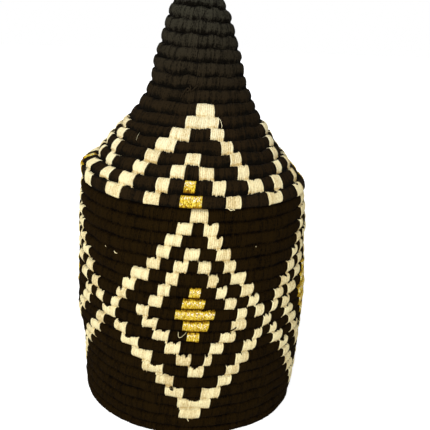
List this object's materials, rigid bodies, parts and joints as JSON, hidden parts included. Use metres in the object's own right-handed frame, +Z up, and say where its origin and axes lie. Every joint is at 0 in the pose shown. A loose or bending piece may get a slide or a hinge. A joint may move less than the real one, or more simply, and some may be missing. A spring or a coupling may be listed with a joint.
{
  "type": "lidded basket",
  "caption": "Round coiled basket with a tall bell-shaped lid that lifts off upwards, black rows with stepped white and gold lozenges, and an open inside.",
  "frame": {"origin": "centre of the underside, on the surface that the basket stands on", "axes": "+Z up along the basket's axis of turning, the front lozenge faces -Y"},
  "size_m": [0.1758, 0.1758, 0.3303],
  "materials": {
    "black_yarn": "matt black wrapped yarn",
    "lip_yarn": "matt black wrapped yarn, inside",
    "white_yarn": "matt cream white wrapped yarn",
    "gold_yarn": "glittering metallic gold wrapped thread"
  },
  "bodies": {
    "basket": {"base_floor": "black_yarn", "base_wall": "black_yarn", "base_rim": "black_yarn", "base_lip": "lip_yarn", "base_white_outer_1": "white_yarn", "base_white_outer_2": "white_yarn", "base_white_outer_3": "white_yarn", "base_white_outer_4": "white_yarn", "base_white_outer_5": "white_yarn", "base_white_inner_1": "white_yarn", "base_white_inner_2": "white_yarn", "base_white_inner_3": "white_yarn", "base_white_inner_4": "white_yarn", "base_white_inner_5": "white_yarn", "base_gold_1": "gold_yarn", "base_gold_2": "gold_yarn", "base_gold_3": "gold_yarn", "base_gold_4": "gold_yarn", "base_gold_5": "gold_yarn"},
    "lid": {"lid_rim": "black_yarn", "lid_bell": "black_yarn", "lid_tip": "black_yarn", "lid_white_outer_1": "white_yarn", "lid_white_outer_2": "white_yarn", "lid_white_outer_3": "white_yarn", "lid_white_outer_4": "white_yarn", "lid_white_outer_5": "white_yarn", "lid_white_inner_1": "white_yarn", "lid_white_inner_2": "white_yarn", "lid_white_inner_3": "white_yarn", "lid_white_inner_4": "white_yarn", "lid_white_inner_5": "white_yarn", "lid_gold_1": "gold_yarn", "lid_gold_2": "gold_yarn", "lid_gold_3": "gold_yarn", "lid_gold_4": "gold_yarn", "lid_gold_5": "gold_yarn"}
  },
  "joints": [
    {"name": "lid_lift", "type": "slide", "parent": "basket", "child": "lid", "axis": [0, 0, 1], "range_m": [0, 0.2]}
  ]
}
